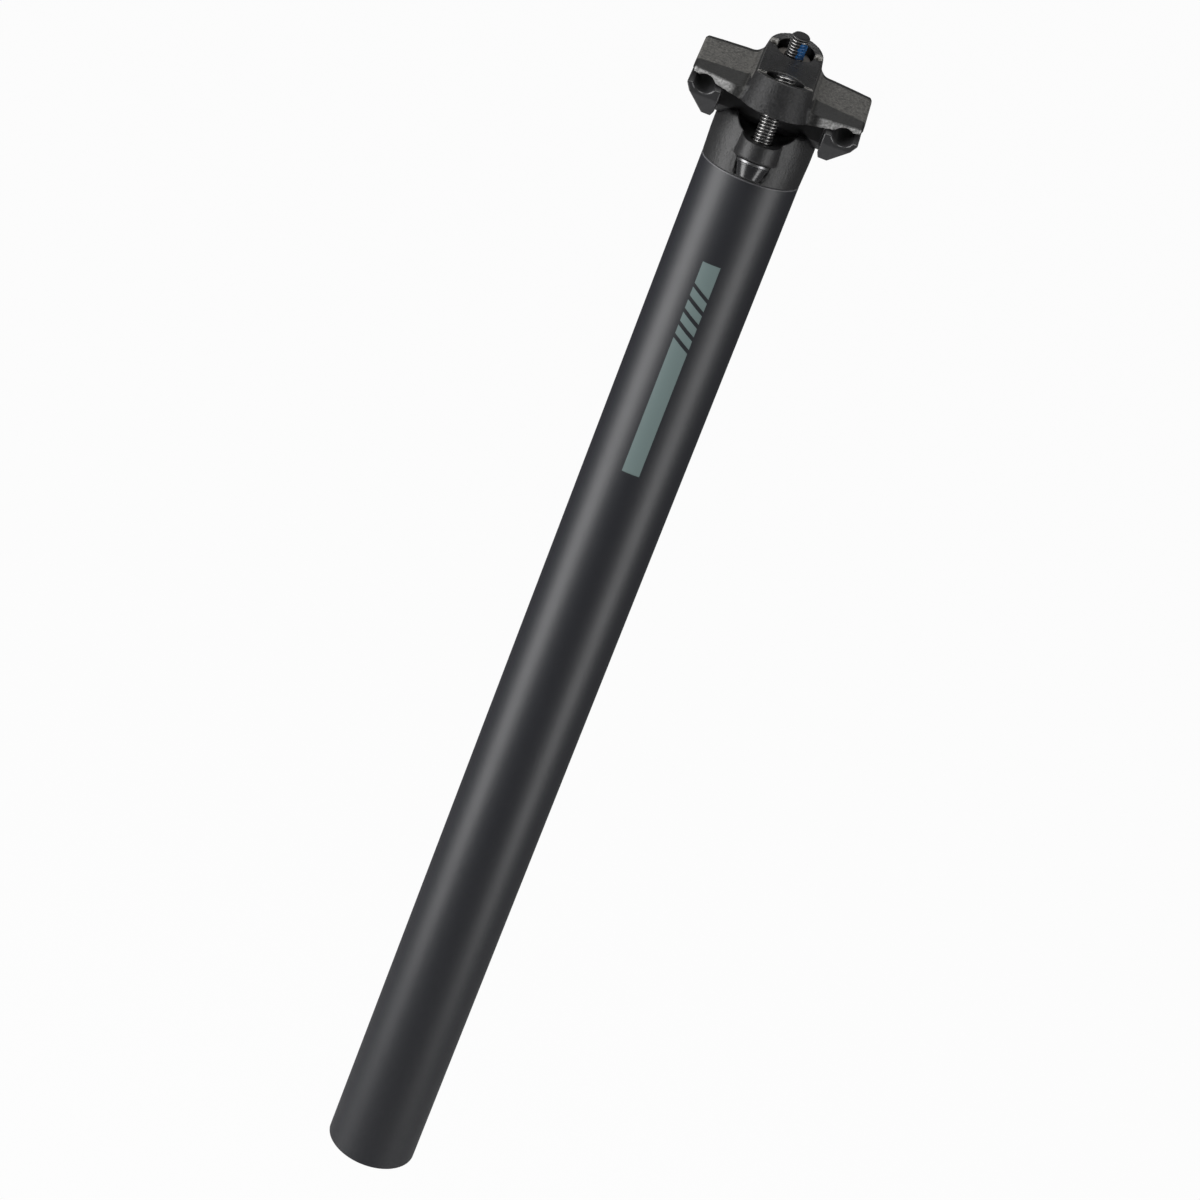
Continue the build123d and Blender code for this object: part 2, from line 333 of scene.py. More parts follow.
def soft_box(name, azimuth, height, away, width, tall, watts, aim):
    """Area lamp at an azimuth from the front of the post, turned to a height on the post's line."""
    spot = Vector((away * sin(radians(azimuth)), -away * cos(radians(azimuth)), height))
    nothing_selected()
    bpy.ops.object.light_add(type="AREA", location=spot)
    lamp = bpy.context.object
    lamp.name = name
    lamp.data.shape = "RECTANGLE"
    lamp.data.size = width
    lamp.data.size_y = tall
    lamp.data.energy = watts
    lamp.rotation_euler = (Vector((0, 0, aim)) - spot).to_track_quat("-Z", "Y").to_euler()
    lamp.visible_camera = False
    print(name, [round(v, 2) for v in spot], watts, "W")


soft_box("left_box", azimuth=-62, height=0.22, away=0.42, width=0.25, tall=0.98, watts=5.6, aim=0.14)
soft_box("right_box", azimuth=61, height=0.18, away=0.42, width=0.16, tall=0.86, watts=2.6, aim=0.1)
soft_box("top_box", azimuth=175, height=1.3, away=0.2, width=0.5, tall=0.5, watts=4.2, aim=0.4)

# %% [markdown]
# ## Finishes that several materials share
# A shader node group is a small recipe that is mixed once and poured into many materials, each with
# its own amounts. Every material takes a fine blasted grain and a slow drift in gloss from handling.
# Three more groups, for the printed stripe, the zones of the upper clamp and the crests of a thread,
# draw where one finish gives way to another. Object coordinates keep a pattern fixed to the piece,
# in metres, so a scale of 1000 means one spot a millimetre.

# %% Node helpers: groups, noise and places


def new_group(name, inputs, outputs):
    """Empty shader group with float inputs, each at its usual value, and named outputs."""
    group = bpy.data.node_groups.new(name, "ShaderNodeTree")
    for label, value in inputs.items():
        socket = group.interface.new_socket(label, in_out="INPUT", socket_type="NodeSocketFloat")
        socket.default_value = value
    for label in outputs:
        group.interface.new_socket(label, in_out="OUTPUT", socket_type="NodeSocketFloat")
    return group, group.nodes.new("NodeGroupInput").outputs, group.nodes.new("NodeGroupOutput").inputs


def object_place(tree):
    """Object coordinates of the point that is shaded."""
    return tree.nodes.new("ShaderNodeTexCoord").outputs["Object"]


def split_xyz(tree, vector):
    """The X, Y and Z sockets of a vector."""
    node = tree.nodes.new("ShaderNodeSeparateXYZ")
    tree.links.new(vector, node.inputs[0])
    return node.outputs


def noise(tree, coordinates, scale, detail=2.0, rough=0.5):
    """Noise texture on the given coordinates, and its value."""
    node = tree.nodes.new("ShaderNodeTexNoise")
    node.inputs["Detail"].default_value = detail
    node.inputs["Roughness"].default_value = rough
    tree.links.new(coordinates, node.inputs["Vector"])
    if isinstance(scale, (int, float)):
        node.inputs["Scale"].default_value = scale
    else:
        tree.links.new(scale, node.inputs["Scale"])
    return node.outputs[0]


# %% Node helpers: masks


def between(tree, value, low, high):
    """1 where a value lies between two limits, and 0 elsewhere."""
    return calculate(tree, "MULTIPLY", calculate(tree, "GREATER_THAN", value, low),
                     calculate(tree, "LESS_THAN", value, high))


def soft_step(tree, value, edge, border):
    """1 where a value is above the edge and 0 below it, with a soft border between them."""
    gap = calculate(tree, "DIVIDE", calculate(tree, "SUBTRACT", value, edge), border)
    return calculate(tree, "ADD", gap, 0.5, clamp=True)


def far(tree, across, along):
    """Distance made up of a step across and a step along."""
    squares = calculate(tree, "MULTIPLY_ADD", across, across, calculate(tree, "MULTIPLY", along, along))
    return calculate(tree, "SQRT", squares)


# %% Group: blasted grain


def make_grain():
    """Fine even grain: Height for a bump, Fleck for small changes of tone from spot to spot."""
    coarser, coarse_share = 0.35, 0.5
    group, given, result = new_group("blasted_grain", {"Scale": 3000, "Fleck Gain": 1.0}, ["Height", "Fleck"])
    where = object_place(group)
    fine = noise(group, where, given["Scale"], detail=3.0, rough=0.6)
    coarse = noise(group, where, calculate(group, "MULTIPLY", given["Scale"], coarser), detail=1.0)
    group.links.new(calculate(group, "MULTIPLY_ADD", coarse, coarse_share, fine), result["Height"])
    centred = calculate(group, "SUBTRACT", fine, 0.5)
    group.links.new(calculate(group, "MULTIPLY", centred, given["Fleck Gain"]), result["Fleck"])
    return group


grain_group = make_grain()
print("group", grain_group.name, len(grain_group.nodes), "nodes")

# %% Group: drift from handling


def make_drift():
    """Slow patches, where hands and cloths have changed the gloss a little: a value round 0."""
    group, given, result = new_group("handling_drift", {"Scale": 60, "Amount": 0.05}, ["Drift"])
    patches = noise(group, object_place(group), given["Scale"], detail=4.0, rough=0.65)
    centred = calculate(group, "SUBTRACT", patches, 0.5)
    group.links.new(calculate(group, "MULTIPLY", centred, given["Amount"]), result["Drift"])
    return group


drift_group = make_drift()
print("group", drift_group.name, len(drift_group.nodes), "nodes")

# %% [markdown]
# ## A material is built in one place
# Every finish here is a dark or bright base, a gloss that varies a little, and a bump from the grain.
# The first helper wires those three. What is the same all over the surface, such as how strongly it
# mirrors, is set on the shader itself. The other helpers lay a second colour over the first by a mask.

# %% Material helpers


def shader_of(material):
    """The Principled BSDF of a material."""
    return material.node_tree.nodes["Principled BSDF"]


def what_feeds(socket):
    """The output socket that is linked to this input."""
    return socket.links[0].from_socket


def add_group(material, group, **values):
    """Place a group in a material with its own amounts. An underscore stands for a space."""
    node = material.node_tree.nodes.new("ShaderNodeGroup")
    node.node_tree = group
    for name, value in values.items():
        node.inputs[name.replace("_", " ")].default_value = value
    return node


def grainy(name, colour, rough, grain_scale, bump, fleck, drift, metallic=0.0, level=0.5, drift_scale=60,
           grain_depth=0.05 * MM):
    """Principled material of one colour with a grain in relief, flecks of tone and a drift in gloss."""
    material = bpy.data.materials.new(name)
    material.use_nodes = True
    tree = material.node_tree
    shader = shader_of(material)
    shader.inputs["Metallic"].default_value = metallic
    shader.inputs["Specular IOR Level"].default_value = level
    grain = add_group(material, grain_group, Scale=grain_scale, Fleck_Gain=fleck)
    patches = add_group(material, drift_group, Scale=drift_scale, Amount=drift)
    gloss = calculate(tree, "ADD", patches.outputs["Drift"], rough, clamp=True)
    tree.links.new(gloss, shader.inputs["Roughness"])
    tint = tree.nodes.new("ShaderNodeMix")
    tint.data_type = "RGBA"
    tint.blend_type = "MULTIPLY"
    tint.inputs[0].default_value = 1.0
    tint.inputs["A"].default_value = (*colour, 1)
    tree.links.new(calculate(tree, "ADD", grain.outputs["Fleck"], 1.0), tint.inputs["B"])
    tree.links.new(tint.outputs["Result"], shader.inputs["Base Color"])
    relief = tree.nodes.new("ShaderNodeBump")
    relief.inputs["Strength"].default_value = bump
    relief.inputs["Distance"].default_value = grain_depth
    tree.links.new(grain.outputs["Height"], relief.inputs["Height"])
    tree.links.new(relief.outputs[0], shader.inputs["Normal"])
    print("finish", name, "with a spot every", round(1 / grain_scale / MM, 2), "mm")
    return material


def lay_over(tree, below, mask, colour):
    """Mix a colour by a mask over what is below it, which is a colour or a socket."""
    over = tree.nodes.new("ShaderNodeMix")
    over.data_type = "RGBA"
    over.inputs["B"].default_value = (*colour, 1)
    tree.links.new(mask, over.inputs[0])
    if isinstance(below, tuple):
        over.inputs["A"].default_value = (*below, 1)
    else:
        tree.links.new(below, over.inputs["A"])
    return over.outputs["Result"]


def paint_over(material, mask, colour):
    """Lay a colour over a material's base colour, flecks and all."""
    base = shader_of(material).inputs["Base Color"]
    painted = lay_over(material.node_tree, what_feeds(base), mask, colour)
    material.node_tree.links.new(painted, base)


# %% [markdown]
# ## The composite tube
# A carbon tube under a matt clear coat is nearly featureless: what shows is the soft highlight, a
# grain too fine to see singly, and the grey-green bars printed down the front. It is a pipe, so an
# open cylinder gets its wall from Solidify, and both rims are broken with a small bevel. At the joint
# with the head a thin light line is painted round the top rim, a painted highlight.

# %% Model the tube
tube = pipe("composite_tube", tube_radius, tube_wall, 0, collar, sides=192, rim_width=0.35 * MM,
            rim_segments=3)
finish_piece(tube, "root", "post_tube")
print("tube", [round(v / MM, 2) for v in tube.dimensions])

# %% Group: printed stripe
print_top, print_foot = 354.8 * MM, 281.45 * MM
print_off_centre = 0.5 * MM
solid_above, solid_below = 345.8 * MM, 327.05 * MM
bars_top, bars_foot = 344.6 * MM, 328.2 * MM
bar_middle, bar_half_pitch, bar_half_height = 343.0 * MM, 2.175 * MM, 1.45 * MM


def make_stripe():
    """Mask of the slanted bars, printed between two solid fields down the front of the tube."""
    group, given, result = new_group("printed_stripe", {"Half Width": 2.92 * MM, "Slant": 0.6}, ["Mask"])
    x, y, z = split_xyz(group, object_place(group))
    angle = calculate(group, "ARCTAN2", x, calculate(group, "MULTIPLY", y, -1.0))
    arc = calculate(group, "MULTIPLY_ADD", angle, tube_radius, print_off_centre)
    inside = calculate(group, "LESS_THAN", calculate(group, "ABSOLUTE", arc), given["Half Width"])
    slanted = calculate(group, "MULTIPLY_ADD", arc, given["Slant"], z)
    fields = calculate(group, "MAXIMUM", calculate(group, "GREATER_THAN", slanted, solid_above),
                       calculate(group, "LESS_THAN", slanted, solid_below))
    off_bar = calculate(group, "PINGPONG", calculate(group, "SUBTRACT", slanted, bar_middle), bar_half_pitch)
    bars = calculate(group, "MULTIPLY", calculate(group, "LESS_THAN", off_bar, bar_half_height),
                     between(group, slanted, bars_foot, bars_top))
    printed = calculate(group, "MULTIPLY", inside, calculate(group, "MAXIMUM", fields, bars))
    front = calculate(group, "LESS_THAN", y, 0.0)
    in_reach = calculate(group, "MULTIPLY", between(group, z, print_foot, print_top), front)
    group.links.new(calculate(group, "MULTIPLY", printed, in_reach), result["Mask"])
    return group


stripe_group = make_stripe()
print("group", stripe_group.name, len(stripe_group.nodes), "nodes")

# %% Finish the tube
coat = grainy("matt_composite", colour=(0.006, 0.0065, 0.009), rough=0.46, grain_scale=5200, bump=0.25,
              fleck=0.5, drift=0.06, level=0.45, drift_scale=28)
print_green, rim_highlight_grey = (0.09, 0.122, 0.12), (0.07, 0.07, 0.074)
rim_highlight_height = 0.4 * MM
paint_over(coat, add_group(coat, stripe_group).outputs["Mask"], print_green)
height_up = split_xyz(coat.node_tree, object_place(coat.node_tree))["Z"]
# Painted highlight: a thin lighter band round the top rim of the tube.
paint_over(coat, calculate(coat.node_tree, "GREATER_THAN", height_up, collar - rim_highlight_height), rim_highlight_grey)
tube.data.materials.append(coat)

# %% [markdown]
# ## Forgings
# The head and the two halves of the clamp are pressed hot between dies and then tumbled, so no edge is
# sharp. A copy of the CAD solid is merged into one closed skin, remeshed into even small squares and
# smoothed a little. That rounds every edge by a few tenths of a millimetre, as tumbling does, and the
# rounded edges are what catches the light.

# %% Helpers: tumble a forging


def forging(name, node):
    """Closed skin from a copy of a CAD node."""
    piece = bpy.data.objects.new(name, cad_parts[node].data.copy())
    bpy.context.scene.collection.objects.link(piece)
    piece.data.name = name
    piece.data.materials.clear()
    merge(piece)
    return piece


def tumble(piece, voxel, passes):
    """Even small squares all over, smoothed a little, as tumbling rounds every edge."""
    apply_modifier(piece, "REMESH", mode="VOXEL", voxel_size=voxel, adaptivity=0.0)
    apply_modifier(piece, "SMOOTH", factor=0.5, iterations=passes)


def soften_where(piece, chosen, passes):
    """Extra smoothing on the points for which chosen(point) gives a share from 0 to 1."""
    group = piece.vertex_groups.new(name="soft")
    for point in piece.data.vertices:
        share = chosen(point.co)
        if share > 0:
            group.add([point.index], min(share, 1.0), "REPLACE")
    apply_modifier(piece, "SMOOTH", factor=0.5, iterations=passes, vertex_group="soft")
    piece.vertex_groups.remove(piece.vertex_groups["soft"])


# %% [markdown]
# ## The head
# The head stands on the tube's rim, and what reaches down into the tube is cut off it first. The outer
# top edges of its two cheeks are far rounder than the rest, so they are smoothed more.

# %% Model the head
joint_gap = 0.03 * MM
cheek_inside = 12 * MM
cheek_height, cheek_fade = 13.5 * MM, 2 * MM

head = forging("head_body", "head_forging")
edit(head)
bpy.ops.mesh.bisect(plane_co=(0, 0, collar + joint_gap), plane_no=(0, 0, 1), use_fill=True, clear_inner=True)
bpy.ops.object.mode_set(mode="OBJECT")
tumble(head, voxel=0.26 * MM, passes=5)


def near_cheek_top(point):
    """Full share at the outer top edge of the cheeks, fading below it."""
    if (point.x ** 2 + point.y ** 2) ** 0.5 < cheek_inside:
        return 0.0
    return (point.z - (collar + cheek_height)) / cheek_fade


soften_where(head, near_cheek_top, passes=40)
finish_piece(head, "root", "head_forging", angle=60)

# %% [markdown]
# The head reaches down into the tube with a spigot that is glued in. It is hidden except from below,
# through the open end, so it is a plain turned sleeve, one piece with the head on the real post.

# %% Model the spigot
spigot_overlap = 0.5 * MM
spigot = pipe("head_spigot", spigot_radius, spigot_radius - spigot_bore, collar - spigot_length,
              collar + spigot_overlap, sides=96, rim_width=0.4 * MM, rim_segments=2)
finish_piece(spigot, "root")

# %% Finish the head
head_finish = grainy("fine_blasted_black", colour=(0.009, 0.009, 0.0095), rough=0.44, grain_scale=1700,
                     bump=0.9, fleck=1.6, drift=0.1, level=0.36, drift_scale=140, grain_depth=0.15 * MM)
for piece in (head, spigot):
    piece.data.materials.append(head_finish)

# %% [markdown]
# ## The upper clamp
# The top forging is two thin wings and a tower between them. In the photo no line shows where a wing
# runs into the tower, so that stretch is smoothed more than the rest.

# %% Model the upper clamp
tower_half_width = 11.4 * MM
foot_lowest, foot_end = 0.5 * MM, 17 * MM
foot_share, foot_fade = 1.6, 1.8 * MM

upper = forging("clamp_top", "upper_clamp")
tumble(upper, voxel=0.265 * MM, passes=4)


def in_clamp_frame(point):
    """A point's place along and above the clamp's own hinge line, with the tilt taken out."""
    above = point.z - hinge_height
    along = point.y * cos(clamp_tilt) + above * sin(clamp_tilt)
    return along, above * cos(clamp_tilt) - point.y * sin(clamp_tilt)


def at_tower_foot(point):
    """Full share where the wings run into the tower, fading away from it."""
    along, lift = in_clamp_frame(point)
    if lift < foot_lowest or abs(along) > foot_end:
        return 0.0
    return foot_share - abs(abs(point.x) - tower_half_width) / foot_fade


soften_where(upper, at_tower_foot, passes=60)
finish_piece(upper, "clamp", "upper_clamp", angle=60)

# %% [markdown]
# The wings keep the coarse grey grain of the blasting. Their outer slopes are painted darker, a painted
# shade, and their lower lips are painted light, a painted highlight. The tower between them was pressed
# again afterwards, so it is smoother and darker, above all in the dish. Its rim is painted light in part,
# a painted highlight, and the punch marks beside each nut are rubbed bright. A group works in the
# clamp's own turned frame, from place and normal, and gives a mask for each.

# %% Masks for the tower and the wings
tower_end, tower_narrowing = 14.05 * MM, 0.176
slope_from = 9.3 * MM
lip_top, lip_from, lip_fade = 3.3 * MM, 13 * MM, 2 * MM
wing_end_facing = 0.6


def tower_mask(tree, side, end, lift, border):
    """The tower seen from above: straight sides and round ends, narrowing as it rises."""
    past_end = calculate(tree, "MAXIMUM", calculate(tree, "SUBTRACT", end, tower_end), 0.0)
    half_width = calculate(tree, "MULTIPLY_ADD", lift, -tower_narrowing, tower_half_width)
    return soft_step(tree, half_width, far(tree, side, past_end), border)


def lip_highlight_mask(tree, side, lift, slope, facing, border):
    """The low outer edge of a wing's slope, apart from the wing's cut end, where a highlight is painted."""
    outer = calculate(tree, "MULTIPLY_ADD", side, 1 / lip_fade, -lip_from / lip_fade, clamp=True)
    low_edge = calculate(tree, "MULTIPLY", soft_step(tree, lip_top, lift, border), outer)
    not_the_end = calculate(tree, "LESS_THAN", calculate(tree, "ABSOLUTE", facing["X"]), wing_end_facing)
    return calculate(tree, "MULTIPLY", calculate(tree, "MULTIPLY", low_edge, slope), not_the_end)


# %% Mask for the painted rim highlight and the punch marks
rim_facing, rim_spread, rim_share = 0.68, 0.16, 0.45
rim_and_marks_from = 6 * MM
mark_offset, mark_radius, mark_border = 7.05 * MM, 1.1 * MM, 0.3 * MM
mark_ragged, mark_grain = 1.0 * MM, 1700


def rim_highlight_and_mark_mask(tree, where, side, end, lift, facing):
    """The rim of the dish, in part, as a painted highlight, and the punch marks beside each nut, in full."""
    off_rim = calculate(tree, "ABSOLUTE", calculate(tree, "SUBTRACT", facing["Z"], rim_facing))
    rim = calculate(tree, "MULTIPLY_ADD", off_rim, -1 / rim_spread, 1.0, clamp=True)
    from_mark = far(tree, calculate(tree, "SUBTRACT", side, mark_offset),
                    calculate(tree, "SUBTRACT", end, nut_offset))
    reach = calculate(tree, "MULTIPLY_ADD", noise(tree, where, mark_grain), mark_ragged, mark_radius)
    mark = soft_step(tree, reach, from_mark, mark_border)
    rim_and_marks = calculate(tree, "MAXIMUM", calculate(tree, "MULTIPLY", rim, rim_share), mark)
    return calculate(tree, "MULTIPLY", rim_and_marks, calculate(tree, "GREATER_THAN", lift, rim_and_marks_from))


# %% Group: zones of the upper clamp
dish_steepness = 3.0


def make_zones():
    """Masks for the tower, its dish, the wings' lips for a painted highlight and outer slopes for a painted
    shade, and the dish rim's painted highlight with the punch marks.
    """
    group, given, result = new_group("clamp_zones", {"Border": 0.7 * MM},
                                     ["Tower", "Dish", "Lip Highlight", "Slope", "Rim Highlight And Marks"])
    border = given["Border"]
    source = group.nodes.new("ShaderNodeTexCoord").outputs
    facing = split_xyz(group, source["Normal"])
    x, y, z = split_xyz(group, source["Object"])
    above = calculate(group, "SUBTRACT", z, hinge_height)
    along = calculate(group, "MULTIPLY_ADD", y, cos(clamp_tilt),
                      calculate(group, "MULTIPLY", above, sin(clamp_tilt)))
    lift = calculate(group, "MULTIPLY_ADD", above, cos(clamp_tilt),
                     calculate(group, "MULTIPLY", y, -sin(clamp_tilt)))
    side = calculate(group, "ABSOLUTE", x)
    end = calculate(group, "ABSOLUTE", along)
    tower = tower_mask(group, side, end, lift, border)
    wing = calculate(group, "SUBTRACT", 1.0, tower)
    slope = soft_step(group, end, slope_from, border)
    upward = calculate(group, "MULTIPLY_ADD", facing["Z"], dish_steepness, -dish_steepness / 2, clamp=True)
    rim_highlight_and_marks = rim_highlight_and_mark_mask(group, source["Object"], side, end, lift, facing)
    group.links.new(tower, result["Tower"])
    group.links.new(calculate(group, "MULTIPLY", tower, upward), result["Dish"])
    group.links.new(lip_highlight_mask(group, side, lift, slope, facing, border), result["Lip Highlight"])
    group.links.new(calculate(group, "MULTIPLY", slope, wing), result["Slope"])
    group.links.new(calculate(group, "MULTIPLY", tower, rim_highlight_and_marks), result["Rim Highlight And Marks"])
    return group


zones_group = make_zones()
print("group", zones_group.name, len(zones_group.nodes), "nodes")

# %% [markdown]
# The zone colours are laid one over another, from the slopes up, below the flecks: they go into the
# node that multiplies the flecks in, so the grain runs on over every zone. The dish is also glossier.

# %% Finish the upper clamp
wing_grey, dish_gloss = (0.072, 0.07, 0.065), 0.27
zone_colours = {
    # Painted shade: the outer slopes of the wings are painted darker.
    "Slope": (0.006, 0.006, 0.0055),
    # Painted highlight: the low lips of the wings are painted light.
    "Lip Highlight": (0.225, 0.225, 0.222),
    "Tower": (0.008, 0.008, 0.0085),
    # Painted highlight on part of the dish rim, and the bare punch marks in full.
    "Rim Highlight And Marks": (0.17, 0.165, 0.155),
}
upper_finish = grainy("coarse_blasted_grey", colour=wing_grey, rough=0.55, grain_scale=1250, bump=1.0,
                      fleck=3.4, drift=0.12, level=0.3, drift_scale=120, grain_depth=0.24 * MM)
upper_tree, upper_shader = upper_finish.node_tree, shader_of(upper_finish)
flecked = what_feeds(upper_shader.inputs["Base Color"]).node
zones = add_group(upper_finish, zones_group)
below = wing_grey
for zone, colour in zone_colours.items():
    below = lay_over(upper_tree, below, zones.outputs[zone], colour)
upper_tree.links.new(below, flecked.inputs["A"])
smoother = calculate(upper_tree, "MULTIPLY_ADD", zones.outputs["Dish"], -dish_gloss,
                     what_feeds(upper_shader.inputs["Roughness"]))
upper_tree.links.new(smoother, upper_shader.inputs["Roughness"])
upper.data.materials.append(upper_finish)

# %% [markdown]
# ## The lower cradle
# The lower half of the clamp is tumbled like the other two forgings, but in the photo it is the
# glossiest of the three and its grain hardly shows. So it gets a low roughness and a weak bump.

# %% Model and finish the lower cradle
cradle = forging("clamp_cradle", "lower_cradle")
tumble(cradle, voxel=0.245 * MM, passes=3)
finish_piece(cradle, "clamp", "lower_cradle", angle=60)
cradle.data.materials.append(grainy(
    "gloss_black_forging", colour=(0.02, 0.02, 0.021), rough=0.3, grain_scale=1500, bump=0.35, fleck=0.8,
    drift=0.12, drift_scale=120))

# %% [markdown]
# ## Screws
# An M6 screw has a thread that climbs one millimetre a turn. The Screw modifier turns a short zigzag,
# one pitch tall, round the axis while it climbs. Its turns meet edge to edge, so merging them gives
# one ribbed rod, which is capped and trimmed to length by a chamfered blank.

# %% Helper: threaded rod
thread_pitch, thread_depth, thread_start = 1.0 * MM, 0.5 * MM, 3.0 * MM


def threaded_rod(name, low, high):
    """Rod along Z with a thread, closed at both ends and two turns too long at each."""
    crest, root, crest_edge = screw_radius, screw_radius - thread_depth, screw_radius - 0.04 * MM
    profile = [(root, 0.0), (root, 0.12), (crest_edge, 0.44), (crest, 0.5), (crest, 0.6),
               (crest_edge, 0.66), (root, 0.98), (root, 1.0)]
    start = low - 2 * thread_pitch
    piece = outline(name, [(radius, start + share * thread_pitch) for radius, share in profile], closed=False)
    turns = int((high - low) / thread_pitch) + 4
    apply_modifier(piece, "SCREW", axis="Z", screw_offset=thread_pitch, iterations=turns, steps=40,
                   render_steps=40, angle=radians(360), use_merge_vertices=True, merge_threshold=0.002 * MM)
    merge(piece, 0.004 * MM)
    edit(piece, "DESELECT")
    bpy.ops.mesh.select_mode(type="VERT")
    bpy.ops.mesh.select_non_manifold(extend=False)
    bpy.ops.mesh.fill()
    bpy.ops.mesh.select_all(action="SELECT")
    bpy.ops.mesh.normals_make_consistent(inside=False)
    bpy.ops.object.mode_set(mode="OBJECT")
    return piece


# %% Helper: the blank that trims a thread
end_chamfer = 0.6 * MM


def chamfered_blank(low, high):
    """Plain rod of the shank's length, with its upper edge cut back to lead the nut on."""
    blank = rod("blank", screw_radius, low, high, sides=64)
    edit(blank, "DESELECT")
    bpy.ops.object.mode_set(mode="OBJECT")
    for edge in blank.data.edges:
        heights = [blank.data.vertices[i].co.z for i in edge.vertices]
        edge.select = min(heights) > high - 0.01 * MM
    bpy.ops.object.mode_set(mode="EDIT")
    bpy.ops.mesh.bevel(offset=end_chamfer, segments=1)
    bpy.ops.object.mode_set(mode="OBJECT")
    return blank


# %% Helper: the head of a screw
rim_height, rim_edge = 0.6 * MM, 0.15 * MM
taper_small, taper_large, taper_edge, taper_top = 3.6 * MM, 4.75 * MM, 0.3 * MM, 0.5 * MM
key_width, key_depth = 4.0 * MM, 3.0 * MM


def screw_head(shank):
    """Add a thin rim and a taper below it to a shank, and sink a hexagon socket in the taper's end."""
    rim = rod("rim", head_radius, -rim_height, 0, sides=80)
    break_edges(rim, rim_edge)
    nothing_selected()
    bpy.ops.mesh.primitive_cone_add(vertices=80, radius1=taper_small, radius2=taper_large,
                                    depth=head_height - taper_top,
                                    location=(0, 0, -(head_height + taper_top) / 2))
    taper = settled("taper")
    break_edges(taper, taper_edge)
    cut(shank, rim, "UNION")
    cut(shank, taper, "UNION")
    socket_radius = key_width / 2 / cos(radians(30))
    cut(shank, rod("socket", socket_radius, -head_height - key_depth, -head_height + key_depth, sides=6))


# %% Model the screws
neck_inset, neck_overlap = 0.1 * MM, 0.3 * MM


def make_screw(side, name):
    """Threaded shank with a chamfered end, a plain neck and a tapered head."""
    shank = threaded_rod(name, thread_start, screw_length[side])
    cut(shank, chamfered_blank(thread_start, screw_length[side]), "INTERSECT")
    neck = rod("neck", screw_radius - neck_inset, -neck_overlap, thread_start + neck_overlap, sides=64)
    cut(shank, neck, "UNION")
    screw_head(shank)
    return place(shank, screw_place(side, washer_above_pivot))


front_screw = finish_piece(make_screw(-1, "front_screw"), "front_bolt", "front_bolt")
rear_screw = finish_piece(make_screw(1, "rear_screw"), "rear_bolt", "rear_bolt")

# %% [markdown]
# The screws are plated gloss black, and the nuts have rubbed the plating off the crests of the thread.
# A group measures how far a point lies from the screw's own leaning line, and that gives the crests.
# The rear screw also carries a patch of blue thread lock near its end, on the right, painted over a
# few turns of the thread and worn ragged at its borders.

# %% Group: rubbed crests of a thread
crest_from, crest_fade, crest_limit = 2.68 * MM, 0.2 * MM, 3.0 * MM


def make_crests():
    """Mask of the thread's crests, for a screw that leans in the YZ plane about its pivot."""
    group, given, result = new_group("thread_crests", {"Pivot": 0.0, "Sine": 0.0, "Cosine": 1.0}, ["Crest"])
    x, y, z = split_xyz(group, object_place(group))
    across = calculate(group, "SUBTRACT", y, given["Pivot"])
    rise = calculate(group, "SUBTRACT", z, pivot_height)
    off_line = calculate(group, "SUBTRACT", calculate(group, "MULTIPLY", across, given["Cosine"]),
                         calculate(group, "MULTIPLY", rise, given["Sine"]))
    reach = far(group, x, off_line)
    past_root = calculate(group, "MULTIPLY_ADD", reach, 1 / crest_fade, -crest_from / crest_fade, clamp=True)
    shank = calculate(group, "LESS_THAN", reach, crest_limit)
    group.links.new(calculate(group, "MULTIPLY", past_root, shank), result["Crest"])
    return group


crests_group = make_crests()
print("group", crests_group.name, len(crests_group.nodes), "nodes")

# %% Plated screws
rubbed_steel = (0.3, 0.295, 0.29)


def plated(side, name):
    """Gloss black plate with rubbed crests, for the screw on one side."""
    material = grainy(name, colour=(0.01, 0.01, 0.011), rough=0.27, grain_scale=2400, bump=0.12, fleck=0.4,
                      drift=0.1, drift_scale=300)
    line = screw_place(side, 0).to_3x3() @ Vector((0, 0, 1))
    crests = add_group(material, crests_group, Pivot=side * pivot_offset, Sine=line.y, Cosine=line.z)
    paint_over(material, crests.outputs["Crest"], rubbed_steel)
    material.node_tree.links.new(crests.outputs["Crest"], shader_of(material).inputs["Metallic"])
    print(name, "leans", round(line.y, 4))
    return material


front_screw.data.materials.append(plated(-1, "black_plate"))

# %% Thread lock on the rear screw
lock_blue, lock_grain = (0.008, 0.07, 0.2), 900
lock_low, lock_high, lock_side = 417.6 * MM, 422.6 * MM, 1.8 * MM
ragged_side, ragged_height = 2.4 * MM, 1.2 * MM


def lock_mask(tree):
    """The patch of thread lock: a stretch of the screw's right side with ragged borders."""
    where = object_place(tree)
    x, y, z = split_xyz(tree, where)
    ragged = noise(tree, where, lock_grain, detail=3.0)
    on_right = calculate(tree, "GREATER_THAN", calculate(tree, "MULTIPLY_ADD", ragged, ragged_side, x),
                         lock_side)
    height = calculate(tree, "MULTIPLY_ADD", ragged, ragged_height, z)
    return calculate(tree, "MULTIPLY", on_right, between(tree, height, lock_low, lock_high))


locked = plated(1, "black_plate_with_thread_lock")
patch = lock_mask(locked.node_tree)
paint_over(locked, patch, lock_blue)
shine = shader_of(locked).inputs["Metallic"]
bare = calculate(locked.node_tree, "SUBTRACT", 1.0, patch)
locked.node_tree.links.new(calculate(locked.node_tree, "MULTIPLY", what_feeds(shine), bare), shine)
rear_screw.data.materials.append(locked)

